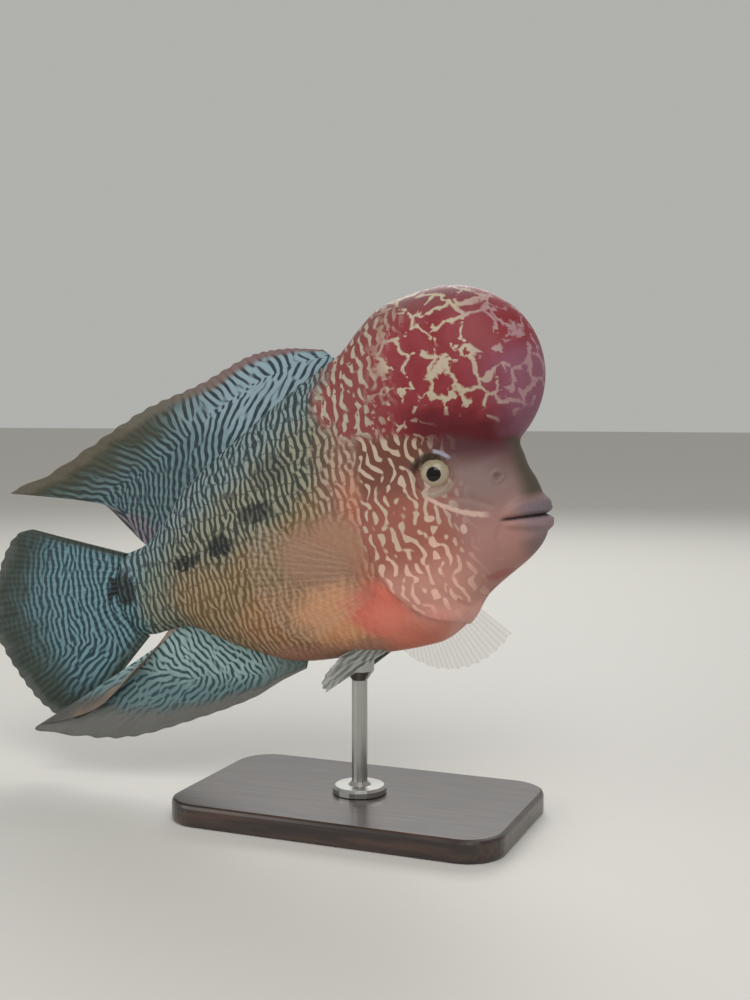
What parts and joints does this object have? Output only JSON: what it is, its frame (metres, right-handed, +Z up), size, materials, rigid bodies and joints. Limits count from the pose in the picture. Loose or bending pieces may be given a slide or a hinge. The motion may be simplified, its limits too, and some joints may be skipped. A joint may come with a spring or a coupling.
{
  "type": "flowerhorn cichlid",
  "caption": "Still life-size flowerhorn cichlid with a big nuchal hump, long pointed dorsal and anal fins, swimming nose up in a soft bend, held by a rod on a flat display base.",
  "frame": {"origin": "centre of the underside of the display stand's base", "axes": "+X towards the fish's snout, +Y to the fish's left side, +Z up"},
  "size_m": [0.2693, 0.084, 0.2137],
  "materials": {
    "hump_skin": "wet satin skin, red with broken cream lines",
    "head_skin": "wet satin skin, grey mauve to salmon",
    "body_skin": "wet scaly skin with fine wavy stripes, orange gold towards the belly",
    "striped_fin": "thin rayed membrane, turquoise with dark teal lines",
    "clear_fin": "thin rayed membrane, nearly clear",
    "eye": "glossy, cream iris round a black pupil",
    "stand_wood": "dark satin lacquer",
    "stand_metal": "satin turned metal"
  },
  "bodies": {
    "root": {"tail_stalk": "body_skin", "trunk": "body_skin", "head": "head_skin", "nuchal_hump": "hump_skin", "upper_jaw": "head_skin", "lower_jaw": "head_skin", "gill_cover_right": "head_skin", "gill_cover_left": "head_skin", "eye_right": "eye", "eye_left": "eye", "dorsal_fin": "striped_fin", "anal_fin": "striped_fin", "caudal_fin": "striped_fin", "pectoral_fin_right": "clear_fin", "pectoral_fin_left": "clear_fin", "pelvic_fin_right": "striped_fin", "pelvic_fin_left": "striped_fin", "stand_base": "stand_wood", "stand_rod": "stand_metal"}
  },
  "joints": []
}
